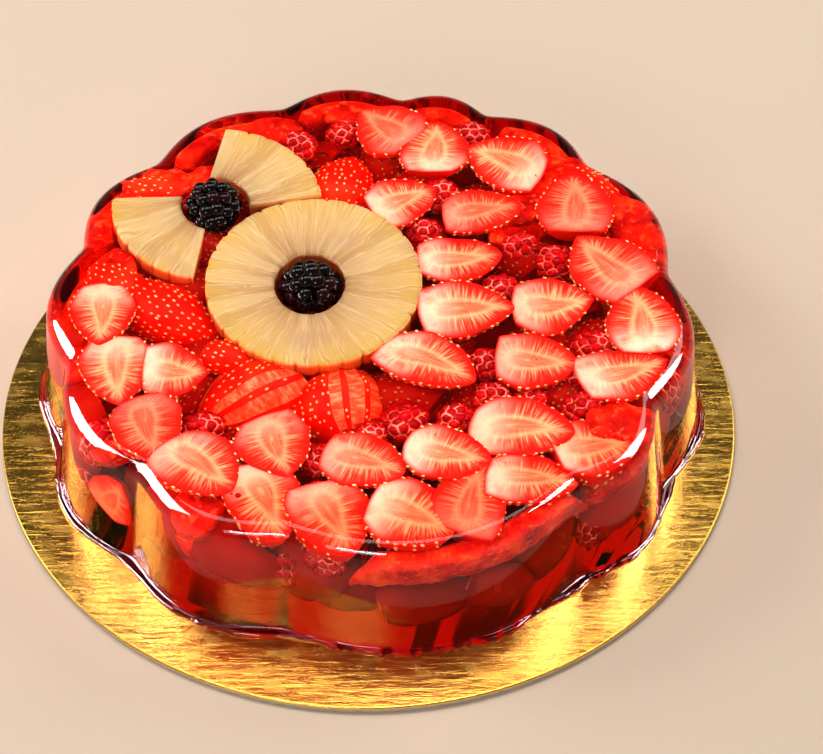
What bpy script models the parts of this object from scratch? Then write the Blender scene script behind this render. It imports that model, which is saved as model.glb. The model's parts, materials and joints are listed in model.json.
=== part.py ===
"""Moulded fruit jelly on a round cake board, in metres, +Z up.

The board's underside is at z = 0 and its centre is the origin. The jelly stands on the board a little
behind its centre, its front towards -Y. Pineapple and two dark berries are set into the jelly's top.
"""
import math

import bmesh
import bpy
from mathutils import Vector

MM = 0.001
GAP = 0.3 * MM                      # clearance between pieces that touch

# Cake board: a paper disc wrapped in foil
BOARD_RADIUS = 140 * MM
BOARD_THICKNESS = 3 * MM
BOARD_EDGE = 0.6 * MM
BOARD_SIDES = 120

# Jelly: twelve uneven lobes between cusps, turned counter-clockwise from the first cusp
JELLY_X = 0.7 * MM
JELLY_Y = 10.5 * MM
JELLY_HEIGHT = 48 * MM
FIRST_CUSP = 11.1                   # degrees from +X
LOBE_SPANS = (32.6, 23.7, 16.9, 23.4, 28.3, 26.1, 30.7, 31.1, 31.6, 55.4, 25.6, 34.6)
CUSP_RADIUS = 119.5 * MM            # at the foot of the wall
BACK_REACH = 2.8 * MM               # how much further the wall stands out at the back
BACK_UPRIGHT = 2.5 * MM             # how much less the wall leans in at the back
BACK_FOOT = 0.15                    # the foot's width at the back over its width elsewhere
LOBE_BULGE = 6.3 * MM
NARROW_BULGE = 5.5 * MM             # the bulge of a lobe under NARROW_SPAN
NARROW_SPAN = 20.0
CUSP_ROUNDING = 0.18                # share of the bulge over which a cusp is rounded
WALL_DRAFT = 4 * MM
RIM_FILLET = 7 * MM
FOOT_WIDTH = 3.5 * MM
FOOT_HEIGHT = 2 * MM
JELLY_STEP = 4.0                    # degrees between the wall's columns

# Pineapple: a whole ring and two quarters cut from the same kind of slice
SLICE_THICKNESS = 10 * MM
SLICE_PROUD = 0.4 * MM              # how far the cut faces stand above the jelly
SLICE_BEVEL = 0.8 * MM
FIBRE_NOTCH = 0.7 * MM              # depth of the notches between the fibre bundles at the rim
RING_CENTRE = (-20.6 * MM, 25.0 * MM)
RING_SEMI_AXES = (41.0 * MM, 44.5 * MM)
HOLE_CENTRE = (-22.0 * MM, 23.0 * MM)
HOLE_SEMI_AXES = (13.3 * MM, 16.0 * MM)
RING_NOTCHES = 30
RING_COLUMNS = 90
WEDGE_INNER = 15.2 * MM
# each wedge: centre, outer radius, start and end angles at the inner and at the outer arc
WEDGES = {
    "pineapple_wedge_left": ((-57.5 * MM, 67.0 * MM), 42.0 * MM, (168.0, 177.0), (249.0, 258.0)),
    "pineapple_wedge_back": ((-61.5 * MM, 66.5 * MM), 43.2 * MM, (-5.0, 6.5), (92.0, 84.0)),
}
WEDGE_COLUMNS = 22
WEDGE_NOTCHES = 7
POCKET_REACH = 6 * MM               # the wedges' pockets reach in to the pocket of the berry between them

# Dark berries: centre, long axis, radius across and half length along that axis, sunk below the top
BERRIES = {
    "dark_berry_centre": {"place": (-21.9 * MM, 23.6 * MM), "sunk": 5 * MM, "axis": (0.1, -0.25, 1.0),
                          "radius": 12.7 * MM, "half_length": 13.2 * MM, "taper": 0.05},
    "dark_berry_side": {"place": (-59.7 * MM, 64.6 * MM), "sunk": 1.0 * MM, "axis": (0.13, -1.0, 0.12),
                        "radius": 11.1 * MM, "half_length": 13.6 * MM, "taper": 0.22},
}
DRUPELET_ROWS = 7
DRUPELET_SIZE = 0.235               # drupelet radius over the berry's radius
BERRY_SUBDIVISIONS = 4

BOARD_TOP = BOARD_THICKNESS
JELLY_BASE = BOARD_TOP + GAP
JELLY_TOP = JELLY_BASE + JELLY_HEIGHT


def clear_scene():
    """Remove whatever the file holds, so that only the model is left."""
    for old in list(bpy.data.objects):
        bpy.data.objects.remove(old, do_unlink=True)


def material(name, colour, roughness, metallic=0.0, transmission=0.0):
    """A Principled material in one colour."""
    made = bpy.data.materials.new(name)
    made.use_nodes = True
    shader = made.node_tree.nodes["Principled BSDF"]
    shader.inputs["Base Color"].default_value = (*colour, 1.0)
    shader.inputs["Roughness"].default_value = roughness
    shader.inputs["Metallic"].default_value = metallic
    shader.inputs["Transmission Weight"].default_value = transmission
    return made


def mesh_object(name, mesh, surface=None):
    """Put a mesh into the scene as a named object."""
    made = bpy.data.objects.new(name, mesh)
    bpy.context.scene.collection.objects.link(made)
    if surface:
        mesh.materials.append(surface)
    return made


def mesh_of_rings(name, rings, wrap=True):
    """Bridge equal rings of points, first to last, and cap both ends; columns run up the rings."""
    grid = bmesh.new()
    rows = [[grid.verts.new(point) for point in ring] for ring in rings]
    count = len(rows[0])
    for low, high in zip(rows, rows[1:]):
        for i in range(count if wrap else count - 1):
            j = (i + 1) % count
            grid.faces.new((low[i], low[j], high[j], high[i]))
    grid.faces.new(list(reversed(rows[0])))
    grid.faces.new(rows[-1])
    bmesh.ops.recalc_face_normals(grid, faces=grid.faces)
    mesh = bpy.data.meshes.new(name)
    grid.to_mesh(mesh)
    grid.free()
    return mesh


def smooth_by_angle(mesh, degrees):
    """Shade a mesh smooth, with its edges sharp above an angle."""
    mesh.shade_smooth()
    mesh.set_sharp_from_angle(angle=math.radians(degrees))


def cut(target, cutter):
    """Cut a hidden cutter out of the target with an exact Boolean."""
    cutter.hide_render = True
    cutter.display_type = "WIRE"
    boolean = target.modifiers.new(cutter.name, "BOOLEAN")
    boolean.operation = "DIFFERENCE"
    boolean.solver = "EXACT"
    boolean.object = cutter


# ---- cake board ----

def circle(radius, z, sides):
    """Points of a circle about the origin, counter-clockwise."""
    return [(radius * math.cos(math.tau * i / sides), radius * math.sin(math.tau * i / sides), z)
            for i in range(sides)]


def make_board():
    """A thin disc with eased edges."""
    profile = ((BOARD_RADIUS - BOARD_EDGE, 0.0), (BOARD_RADIUS, BOARD_EDGE),
               (BOARD_RADIUS, BOARD_THICKNESS - BOARD_EDGE), (BOARD_RADIUS - BOARD_EDGE, BOARD_THICKNESS))
    mesh = mesh_of_rings("cake_board", [circle(r, z, BOARD_SIDES) for r, z in profile])
    smooth_by_angle(mesh, 60)
    return mesh_object("cake_board", mesh, material("gold_foil_board", (0.72, 0.50, 0.14), 0.22, metallic=1.0))


# ---- jelly ----

def lobe_at(angle):
    """The span of the lobe at an angle in degrees, and the share of it already passed."""
    passed = (angle - FIRST_CUSP) % 360.0
    for span in LOBE_SPANS:
        if passed < span:
            return span, passed / span
        passed -= span
    return LOBE_SPANS[-1], 1.0


def back_share(angle):
    """How far towards the back an angle in degrees lies: 1 at the back, 0 from the sides to the front."""
    return max(0.0, math.sin(math.radians(angle))) ** 1.5


def wall_radius(angle):
    """Radius of the wall's foot: cusps on a rough circle, with a rounded bulge for each lobe."""
    span, share = lobe_at(angle)
    bulge = NARROW_BULGE if span < NARROW_SPAN else LOBE_BULGE
    arch = math.hypot(math.sin(math.pi * share), CUSP_ROUNDING) - CUSP_ROUNDING
    out = CUSP_RADIUS + BACK_REACH * back_share(angle)
    return out + bulge * arch / (math.hypot(1.0, CUSP_ROUNDING) - CUSP_ROUNDING)


def wall_angles():
    """Angles of the wall's columns: every cusp, and even steps across each lobe."""
    angles = []
    start = FIRST_CUSP
    for span in LOBE_SPANS:
        steps = max(4, round(span / JELLY_STEP))
        angles += [start + span * i / steps for i in range(steps)]
        start += span
    return angles


def jelly_profile(angle):
    """Offsets from the wall's foot and heights at an angle, from the foot's underside to the flat top."""
    back = back_share(angle)
    foot = FOOT_WIDTH * (1 - (1 - BACK_FOOT) * back)
    draft = WALL_DRAFT - BACK_UPRIGHT * back
    points = [(foot, 0.0), (foot, 0.6 * FOOT_HEIGHT), (0.3 * foot, FOOT_HEIGHT), (0.0, 1.8 * FOOT_HEIGHT)]
    for step in range(5):
        turn = math.radians(22.5 * step)
        points.append((-draft - RIM_FILLET * (1 - math.cos(turn)),
                       JELLY_HEIGHT - RIM_FILLET * (1 - math.sin(turn))))
    return points


def make_jelly():
    """The scalloped body of the jelly, still without the pockets for the fruit."""
    columns = []
    for angle in wall_angles():
        turn = math.radians(angle)
        columns.append([(JELLY_X + (wall_radius(angle) + offset) * math.cos(turn),
                         JELLY_Y + (wall_radius(angle) + offset) * math.sin(turn),
                         JELLY_BASE + height) for offset, height in jelly_profile(angle)])
    rings = list(zip(*columns))
    mesh = mesh_of_rings("jelly", rings)
    smooth_by_angle(mesh, 50)
    return mesh_object("jelly", mesh, material("red_jelly", (0.62, 0.01, 0.02), 0.05, transmission=0.9))


# ---- pineapple ----

def notch(share, count):
    """How deep the rim is notched, 0 to 1, at a share of the rim with a count of fibre bundles."""
    return (1.0 - abs(math.sin(math.pi * share * count))) ** 2


def slice_mesh(name, inner, outer, columns, low, high, bevel, wrap):
    """A slab between two lines of points, inner and outer, each a function of a share from 0 to 1."""
    across = ((0.0, 0.0, low), (0.0, 1.0, low), (0.0, 1.0, high - bevel), (-bevel, 1.0, high),
              (bevel, 0.0, high), (0.0, 0.0, high - bevel))
    slab = bmesh.new()
    rows = []
    for i in range(columns):
        share = i / columns if wrap else i / (columns - 1)
        near, far = Vector(inner(share)), Vector(outer(share))
        along = (far - near).normalized()
        rows.append([slab.verts.new((*(near.lerp(far, side) + along * inset), z))
                     for inset, side, z in across])
    count = len(across)
    for i in range(columns if wrap else columns - 1):
        one, two = rows[i], rows[(i + 1) % columns]
        for k in range(count):
            m = (k + 1) % count
            slab.faces.new((one[k], one[m], two[m], two[k]))
    if not wrap:
        slab.faces.new(list(reversed(rows[0])))
        slab.faces.new(rows[-1])
    bmesh.ops.recalc_face_normals(slab, faces=slab.faces)
    mesh = bpy.data.meshes.new(name)
    slab.to_mesh(mesh)
    slab.free()
    return mesh


def ellipse(centre, semi_axes, share, grow=0.0):
    """A point of an ellipse in plan, its semi-axes grown by a distance."""
    turn = math.tau * share
    return (centre[0] + (semi_axes[0] + grow) * math.cos(turn),
            centre[1] + (semi_axes[1] + grow) * math.sin(turn))


def make_ring(surface):
    """The whole slice, a little oval, with its core cut out."""
    top = JELLY_TOP + SLICE_PROUD
    mesh = slice_mesh("pineapple_ring",
                      lambda share: ellipse(HOLE_CENTRE, HOLE_SEMI_AXES, share),
                      lambda share: ellipse(RING_CENTRE, RING_SEMI_AXES, share,
                                            -FIBRE_NOTCH * notch(share, RING_NOTCHES)),
                      RING_COLUMNS, top - SLICE_THICKNESS, top, SLICE_BEVEL, wrap=True)
    smooth_by_angle(mesh, 40)
    return mesh_object("pineapple_ring", mesh, surface)


def ring_pocket():
    """Cutter for the ring: a plain oval as deep as the slice, open at the top."""
    low = JELLY_TOP + SLICE_PROUD - SLICE_THICKNESS - GAP
    levels = (low, JELLY_TOP + 5 * MM)
    rings = [[(*ellipse(RING_CENTRE, RING_SEMI_AXES, i / BOARD_SIDES, GAP), z) for i in range(BOARD_SIDES)]
             for z in levels]
    return mesh_object("ring_pocket", mesh_of_rings("ring_pocket", rings))


def wedge_point(wedge, share, side, radius, margin=0.0):
    """A point of a wedge in plan: share runs from its start to its end, side is 0 inside and 1 outside."""
    centre, _, start, end = wedge
    margin_angle = math.degrees(margin / radius)
    first = start[side] - margin_angle
    last = end[side] + margin_angle
    turn = math.radians(first + (last - first) * share)
    return centre[0] + radius * math.cos(turn), centre[1] + radius * math.sin(turn)


def make_wedge(name, surface):
    """A quarter of a slice."""
    wedge = WEDGES[name]
    top = JELLY_TOP + SLICE_PROUD
    mesh = slice_mesh(name,
                      lambda share: wedge_point(wedge, share, 0, WEDGE_INNER),
                      lambda share: wedge_point(wedge, share, 1,
                                                wedge[1] - FIBRE_NOTCH * notch(share, WEDGE_NOTCHES)),
                      WEDGE_COLUMNS, top - SLICE_THICKNESS, top, SLICE_BEVEL, wrap=False)
    smooth_by_angle(mesh, 40)
    return mesh_object(name, mesh, surface)


def wedge_pocket(name):
    """Cutter for a wedge, clear of it all round, its sides carried on towards the berry."""
    wedge = WEDGES[name]
    low = JELLY_TOP + SLICE_PROUD - SLICE_THICKNESS - GAP

    def outer(share):
        return Vector(wedge_point(wedge, share, 1, wedge[1] + GAP, 1.5 * GAP))

    def inner(share):
        near = Vector(wedge_point(wedge, share, 0, WEDGE_INNER, 1.5 * GAP))
        return near + (near - outer(share)).normalized() * POCKET_REACH

    mesh = slice_mesh(name + "_pocket", inner, outer, WEDGE_COLUMNS, low, JELLY_TOP + 5 * MM, 0.5 * MM,
                      wrap=False)
    return mesh_object(name + "_pocket", mesh)


# ---- dark berries ----

def berry_centre(berry):
    """The middle of a berry."""
    return Vector((*berry["place"], JELLY_TOP - berry["sunk"]))


def berry_turn(berry):
    """The rotation that lays a berry's own +Z along its axis."""
    return Vector((0, 0, 1)).rotation_difference(Vector(berry["axis"]))


def drupelets(berry):
    """Centres of the drupelets: rows round the berry's axis, with as many in each as fit."""
    size = DRUPELET_SIZE * berry["radius"]
    reach = berry["radius"] - size
    stretch = (berry["half_length"] - size) / reach
    centres = []
    for row in range(DRUPELET_ROWS):
        tilt = math.pi * (row + 0.5) / DRUPELET_ROWS
        count = max(3, round(math.tau * math.sin(tilt) * reach / (1.75 * size)))
        narrow = 1.0 - berry["taper"] * math.cos(tilt)
        for i in range(count):
            turn = math.tau * (i + 0.5 * (row % 2)) / count
            centres.append(Vector((reach * narrow * math.sin(tilt) * math.cos(turn),
                                   reach * narrow * math.sin(tilt) * math.sin(turn),
                                   reach * stretch * math.cos(tilt))))
    return centres, size


def make_berry(name, surface):
    """A berry as one skin round all its drupelets."""
    berry = BERRIES[name]
    centres, size = drupelets(berry)
    turn = berry_turn(berry)
    skin = bmesh.new()
    bmesh.ops.create_icosphere(skin, subdivisions=BERRY_SUBDIVISIONS, radius=1.0)
    for vert in skin.verts:
        direction = vert.co.normalized()
        reach = 0.62 * berry["radius"]
        for centre in centres:
            along = centre.dot(direction)
            inside = size * size - centre.length_squared + along * along
            if inside > 0:
                reach = max(reach, along + math.sqrt(inside))
        vert.co = turn @ (direction * reach) + berry_centre(berry)
    mesh = bpy.data.meshes.new(name)
    skin.to_mesh(mesh)
    skin.free()
    smooth_by_angle(mesh, 70)
    return mesh_object(name, mesh, surface)


def berry_pocket(name):
    """Cutter for a berry: an egg that clears all its drupelets."""
    berry = BERRIES[name]
    turn = berry_turn(berry)
    grow = 2 * GAP
    egg = bmesh.new()
    bmesh.ops.create_icosphere(egg, subdivisions=3, radius=1.0)
    for vert in egg.verts:
        narrow = 1.0 - berry["taper"] * vert.co.z
        across = (berry["radius"] + grow) * narrow
        along = berry["half_length"] + grow
        shaped = Vector((vert.co.x * across, vert.co.y * across, vert.co.z * along))
        vert.co = turn @ shaped + berry_centre(berry)
    mesh = bpy.data.meshes.new(name + "_pocket")
    egg.to_mesh(mesh)
    egg.free()
    return mesh_object(name + "_pocket", mesh)


def main():
    """Build every piece of the dessert."""
    clear_scene()
    make_board()
    jelly = make_jelly()
    pineapple = material("pineapple_flesh", (0.86, 0.62, 0.25), 0.45)
    make_ring(pineapple)
    cut(jelly, ring_pocket())
    for name in WEDGES:
        make_wedge(name, pineapple.copy())
        cut(jelly, wedge_pocket(name))
    for name in BERRIES:
        make_berry(name, material(name + "_skin", (0.012, 0.004, 0.008), 0.2))
        cut(jelly, berry_pocket(name))


main()
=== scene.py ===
"""Looks of a moulded fruit jelly on its gold cake board: clear red jelly with strawberries and red
berries set in it, pineapple slices and dark berries in its top, all in metres with +Z up."""
import json
import math
import random

import bpy
import numpy as np
from mathutils import Matrix, Vector, noise

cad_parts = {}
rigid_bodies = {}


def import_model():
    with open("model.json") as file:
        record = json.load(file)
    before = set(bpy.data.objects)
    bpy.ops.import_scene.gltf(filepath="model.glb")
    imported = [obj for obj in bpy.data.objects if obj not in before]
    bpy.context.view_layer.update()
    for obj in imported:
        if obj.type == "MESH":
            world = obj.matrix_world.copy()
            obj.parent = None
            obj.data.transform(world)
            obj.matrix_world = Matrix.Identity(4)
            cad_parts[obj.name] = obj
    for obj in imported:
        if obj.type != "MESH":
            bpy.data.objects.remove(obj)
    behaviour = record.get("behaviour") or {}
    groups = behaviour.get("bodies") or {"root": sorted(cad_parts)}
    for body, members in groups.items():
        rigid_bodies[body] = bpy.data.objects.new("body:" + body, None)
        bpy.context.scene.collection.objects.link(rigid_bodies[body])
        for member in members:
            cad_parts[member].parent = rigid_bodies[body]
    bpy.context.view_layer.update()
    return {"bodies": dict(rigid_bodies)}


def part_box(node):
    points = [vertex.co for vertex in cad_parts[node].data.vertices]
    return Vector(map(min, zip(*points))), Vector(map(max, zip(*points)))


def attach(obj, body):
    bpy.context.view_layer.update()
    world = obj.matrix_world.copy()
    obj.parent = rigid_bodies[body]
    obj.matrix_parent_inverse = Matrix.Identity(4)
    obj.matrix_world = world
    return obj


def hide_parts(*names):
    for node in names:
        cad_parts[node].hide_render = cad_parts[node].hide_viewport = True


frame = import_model()

MM = 0.001
BODY = "root" if "root" in frame["bodies"] else next(iter(frame["bodies"]))

# ---- places and sizes, from the frame and from the jelly's own shape ----

BOARD_LOW, BOARD_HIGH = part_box("cake_board")
JELLY_LOW, JELLY_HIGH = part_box("jelly")
BOARD_RADIUS = (BOARD_HIGH[0] - BOARD_LOW[0]) / 2
BOARD_TOP = BOARD_HIGH[2]
JELLY_TOP = JELLY_HIGH[2]
SLICE_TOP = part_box("pineapple_ring")[1][2]
SLICE_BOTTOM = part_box("pineapple_ring")[0][2]

CENTRE_X = 0.7 * MM
CENTRE_Y = 10.5 * MM
# the cusps' angles are what a scratch program's fit to the photo gave
FIRST_CUSP = 11.1                   # degrees from +X
LOBE_SPANS = (32.6, 23.7, 16.9, 23.4, 28.3, 26.1, 30.7, 31.1, 31.6, 55.4, 25.6, 34.6)
CUSP_RADIUS = 119.5 * MM
BACK_REACH = 2.8 * MM               # at the back the wall stands further out,
BACK_UPRIGHT = 2.5 * MM             # leans in less
BACK_FOOT = 0.15                    # and has hardly any foot
LOBE_BULGE = 6.3 * MM
NARROW_BULGE = 5.5 * MM
NARROW_SPAN = 20.0
CUSP_ROUNDING = 0.18
WALL_DRAFT = 4 * MM
RIM_FILLET = 7 * MM
FOOT_WIDTH = 2.2 * MM
FOOT_HEIGHT = 1.1 * MM
FOOT_BROKEN = -45.0                 # the foot is most ragged towards this angle, in degrees
WETTING = 0.1 * MM                  # how far the jelly reaches into the foil, so that no air shows
COVER = 0.9 * MM                    # jelly above the cut faces of the fruit
UNDER_JELLY = 0.06                  # how much fruit set in jelly still mirrors, where 0.5 is in air


def linear(red, green, blue, alpha=1.0):
    """A colour given as 0 to 255, as the shader reads it."""
    def channel(value):
        share = value / 255.0
        return share / 12.92 if share <= 0.04045 else ((share + 0.055) / 1.055) ** 2.4
    return channel(red), channel(green), channel(blue), alpha


# ---- node trees ----

class Shader:
    """A material's node tree, built by short calls."""

    def __init__(self, name):
        self.material = bpy.data.materials.new(name)
        self.material.use_nodes = True
        self.tree = self.material.node_tree
        self.principled = self.tree.nodes["Principled BSDF"]
        self.output = self.tree.nodes["Material Output"]

    def feed(self, socket, value):
        """Link an output into a socket, or set its value."""
        if isinstance(value, bpy.types.NodeSocket):
            self.tree.links.new(value, socket)
        else:
            socket.default_value = value

    def node(self, kind, inputs=(), **settings):
        """Add a node with its settings and inputs."""
        made = self.tree.nodes.new(kind)
        for key, value in settings.items():
            setattr(made, key, value)
        for key, value in dict(inputs).items():
            self.feed(made.inputs[key], value)
        return made

    def surface(self, **values):
        """Set the shader's own sockets; underscores stand for spaces."""
        for key, value in values.items():
            self.feed(self.principled.inputs[key.replace("_", " ")], value)

    def attribute(self, name):
        """A vector stored on the mesh."""
        return self.node("ShaderNodeAttribute", attribute_name=name).outputs["Vector"]

    def split(self, vector):
        """The three parts of a vector."""
        return self.node("ShaderNodeSeparateXYZ", {"Vector": vector}).outputs

    def join(self, x, y, z=0.0):
        """A vector of three parts."""
        return self.node("ShaderNodeCombineXYZ", {"X": x, "Y": y, "Z": z}).outputs["Vector"]

    def math(self, operation, first, second=0.0, clamp=False):
        """One sum."""
        made = self.node("ShaderNodeMath", operation=operation, use_clamp=clamp)
        self.feed(made.inputs[0], first)
        self.feed(made.inputs[1], second)
        return made.outputs["Value"]

    def band(self, value, low, high):
        """0 below low and 1 above high, smooth between; high may be the smaller."""
        made = self.node("ShaderNodeMapRange", {"Value": value, "From Min": low, "From Max": high},
                         interpolation_type="SMOOTHSTEP")
        return made.outputs["Result"]

    def noise(self, vector, scale, detail=3.0, roughness=0.55, distortion=0.0):
        """Smooth noise, about 0.5 on average."""
        made = self.node("ShaderNodeTexNoise", {"Vector": vector, "Scale": scale, "Detail": detail,
                                                "Roughness": roughness, "Distortion": distortion})
        return made.outputs["Fac"]

    def stretch(self, vector, scale, turn=(0.0, 0.0, 0.0)):
        """A vector scaled along its axes, and turned first."""
        made = self.node("ShaderNodeMapping", {"Vector": vector, "Scale": scale, "Rotation": turn})
        return made.outputs["Vector"]

    def ramp(self, value, stops):
        """A colour for each value, from (place, colour) stops."""
        made = self.node("ShaderNodeValToRGB", {"Fac": value})
        elements = made.color_ramp.elements
        while len(elements) < len(stops):
            elements.new(0.5)
        for element, (place, colour) in zip(elements, stops):
            element.position = place
            element.color = colour
        return made.outputs["Color"]

    def mix(self, factor, first, second, blend="MIX"):
        """Two colours mixed."""
        made = self.node("ShaderNodeMix", data_type="RGBA", blend_type=blend)
        self.feed(made.inputs[0], factor)
        self.feed(made.inputs[6], first)
        self.feed(made.inputs[7], second)
        return made.outputs[2]

    def bump(self, height, distance, strength=1.0):
        """Relief finer than the mesh."""
        made = self.node("ShaderNodeBump", {"Height": height, "Distance": distance, "Strength": strength})
        self.feed(self.principled.inputs["Normal"], made.outputs["Normal"])
        return made.outputs["Normal"]

    def place(self):
        """The point's place in the object."""
        return self.node("ShaderNodeTexCoord").outputs["Object"]


# ---- mesh building ----

class Piece:
    """Collects shapes into one mesh, with a local place stored on each vertex."""

    def __init__(self):
        self.points, self.faces, self.slots, self.stored = [], [], [], {"local": [], "flat": []}
        self.count = 0

    def add(self, points, faces, slot=0, local=None, flat=None):
        """Add a shape: points, faces by index, its material slot and its stored places."""
        points = np.asarray(points, dtype=float).reshape(-1, 3)
        self.points.append(points)
        for key, values in (("local", local), ("flat", flat)):
            self.stored[key].append(np.zeros_like(points) if values is None
                                    else np.asarray(values, float).reshape(-1, 3))
        self.faces += [tuple(int(i) + self.count for i in face) for face in faces]
        self.slots += [slot] * len(faces)
        self.count += len(points)

    def finish(self, name, materials, smooth_angle=None, replaces=(), slot=None):
        """Make the mesh object, which rides on the body."""
        mesh = bpy.data.meshes.new(name)
        mesh.from_pydata(np.concatenate(self.points).tolist(), [], self.faces)
        mesh.polygons.foreach_set("material_index", self.slots)
        for key, values in self.stored.items():
            if any(part.any() for part in values):
                attribute = mesh.attributes.new(key, "FLOAT_VECTOR", "POINT")
                attribute.data.foreach_set("vector", np.concatenate(values).ravel())
        for material in materials:
            mesh.materials.append(material)
        mesh.validate()
        mesh.shade_smooth()
        if smooth_angle:
            mesh.set_sharp_from_angle(angle=math.radians(smooth_angle))
        made = bpy.data.objects.new(name, mesh)
        bpy.context.scene.collection.objects.link(made)
        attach(made, BODY)
        if replaces:
            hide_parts(*replaces)
        return made


def grid_faces(rows, columns, wrap=False, start=0, flip=False):
    """Quads between the rows of a grid laid out row by row."""
    faces = []
    for i in range(rows - 1):
        for j in range(columns if wrap else columns - 1):
            k = (j + 1) % columns
            quad = (start + i * columns + j, start + i * columns + k,
                    start + (i + 1) * columns + k, start + (i + 1) * columns + j)
            faces.append(quad[::-1] if flip else quad)
    return faces


def frame_at(place, heading, roll=0.0, pitch=0.0):
    """Axes of a fruit: +Y to its tip, turned by heading from +X, then pitched and rolled, in degrees."""
    turn = Matrix.Rotation(math.radians(heading - 90), 4, "Z")
    tip = Matrix.Rotation(math.radians(pitch), 4, "X")
    side = Matrix.Rotation(math.radians(roll), 4, "Y")
    return np.array(Matrix.Translation(Vector(place)) @ turn @ tip @ side)


def moved(matrix, points):
    """Points carried by a frame."""
    points = np.asarray(points, float).reshape(-1, 3)
    return points @ matrix[:3, :3].T + matrix[:3, 3]


# ---- jelly ----

def back_share(angle):
    """How far towards the back an angle in degrees lies: 1 at the back, 0 from the sides to the front."""
    return max(0.0, math.sin(math.radians(angle))) ** 1.5


def wall_radius(angle):
    """Radius of the wall's foot at an angle in degrees."""
    passed = (angle - FIRST_CUSP) % 360.0
    for span in LOBE_SPANS:
        if passed < span:
            break
        passed -= span
    share = passed / span
    bulge = NARROW_BULGE if span < NARROW_SPAN else LOBE_BULGE
    arch = math.hypot(math.sin(math.pi * share), CUSP_ROUNDING) - CUSP_ROUNDING
    out = CUSP_RADIUS + BACK_REACH * back_share(angle)
    return out + bulge * arch / (math.hypot(1.0, CUSP_ROUNDING) - CUSP_ROUNDING)


def kept_inside(points, room=1.2 * MM):
    """The points of a fruit, moved towards the middle as far as it takes to lie inside the jelly."""
    points = np.array(points, float).reshape(-1, 3)
    for _ in range(3):
        x, y = points[:, 0] - CENTRE_X, points[:, 1] - CENTRE_Y
        radius = np.hypot(x, y)
        turns = np.degrees(np.arctan2(y, x))
        height = points[:, 2] - BOARD_TOP
        full = JELLY_TOP - BOARD_TOP
        drop = np.clip(height - (full - RIM_FILLET), 0, RIM_FILLET)
        limit = np.array([wall_radius(turn) for turn in turns]) - WALL_DRAFT * height / full
        limit -= RIM_FILLET - np.sqrt(np.maximum(RIM_FILLET ** 2 - drop ** 2, 0))
        over = np.max(radius - limit + room)
        if over <= 0:
            break
        middle = points[:, :2].mean(axis=0) - np.array([CENTRE_X, CENTRE_Y])
        points[:, :2] -= over * middle / np.linalg.norm(middle)
    return points


def jelly_material():
    """Clear red gelatine: a wet surface over an even red tint in its depth."""
    shader = Shader("jelly_clear_red")
    shader.surface(Base_Color=(1.0, 0.97, 0.96, 1.0), Roughness=0.0, IOR=1.36, Transmission_Weight=1.0)
    tint = shader.node("ShaderNodeVolumeAbsorption")
    tint.inputs["Color"].default_value = (0.978, 0.50, 0.18, 1.0)
    tint.inputs["Density"].default_value = 104.0
    shader.tree.links.new(tint.outputs["Volume"], shader.output.inputs["Volume"])
    return shader.material


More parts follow.
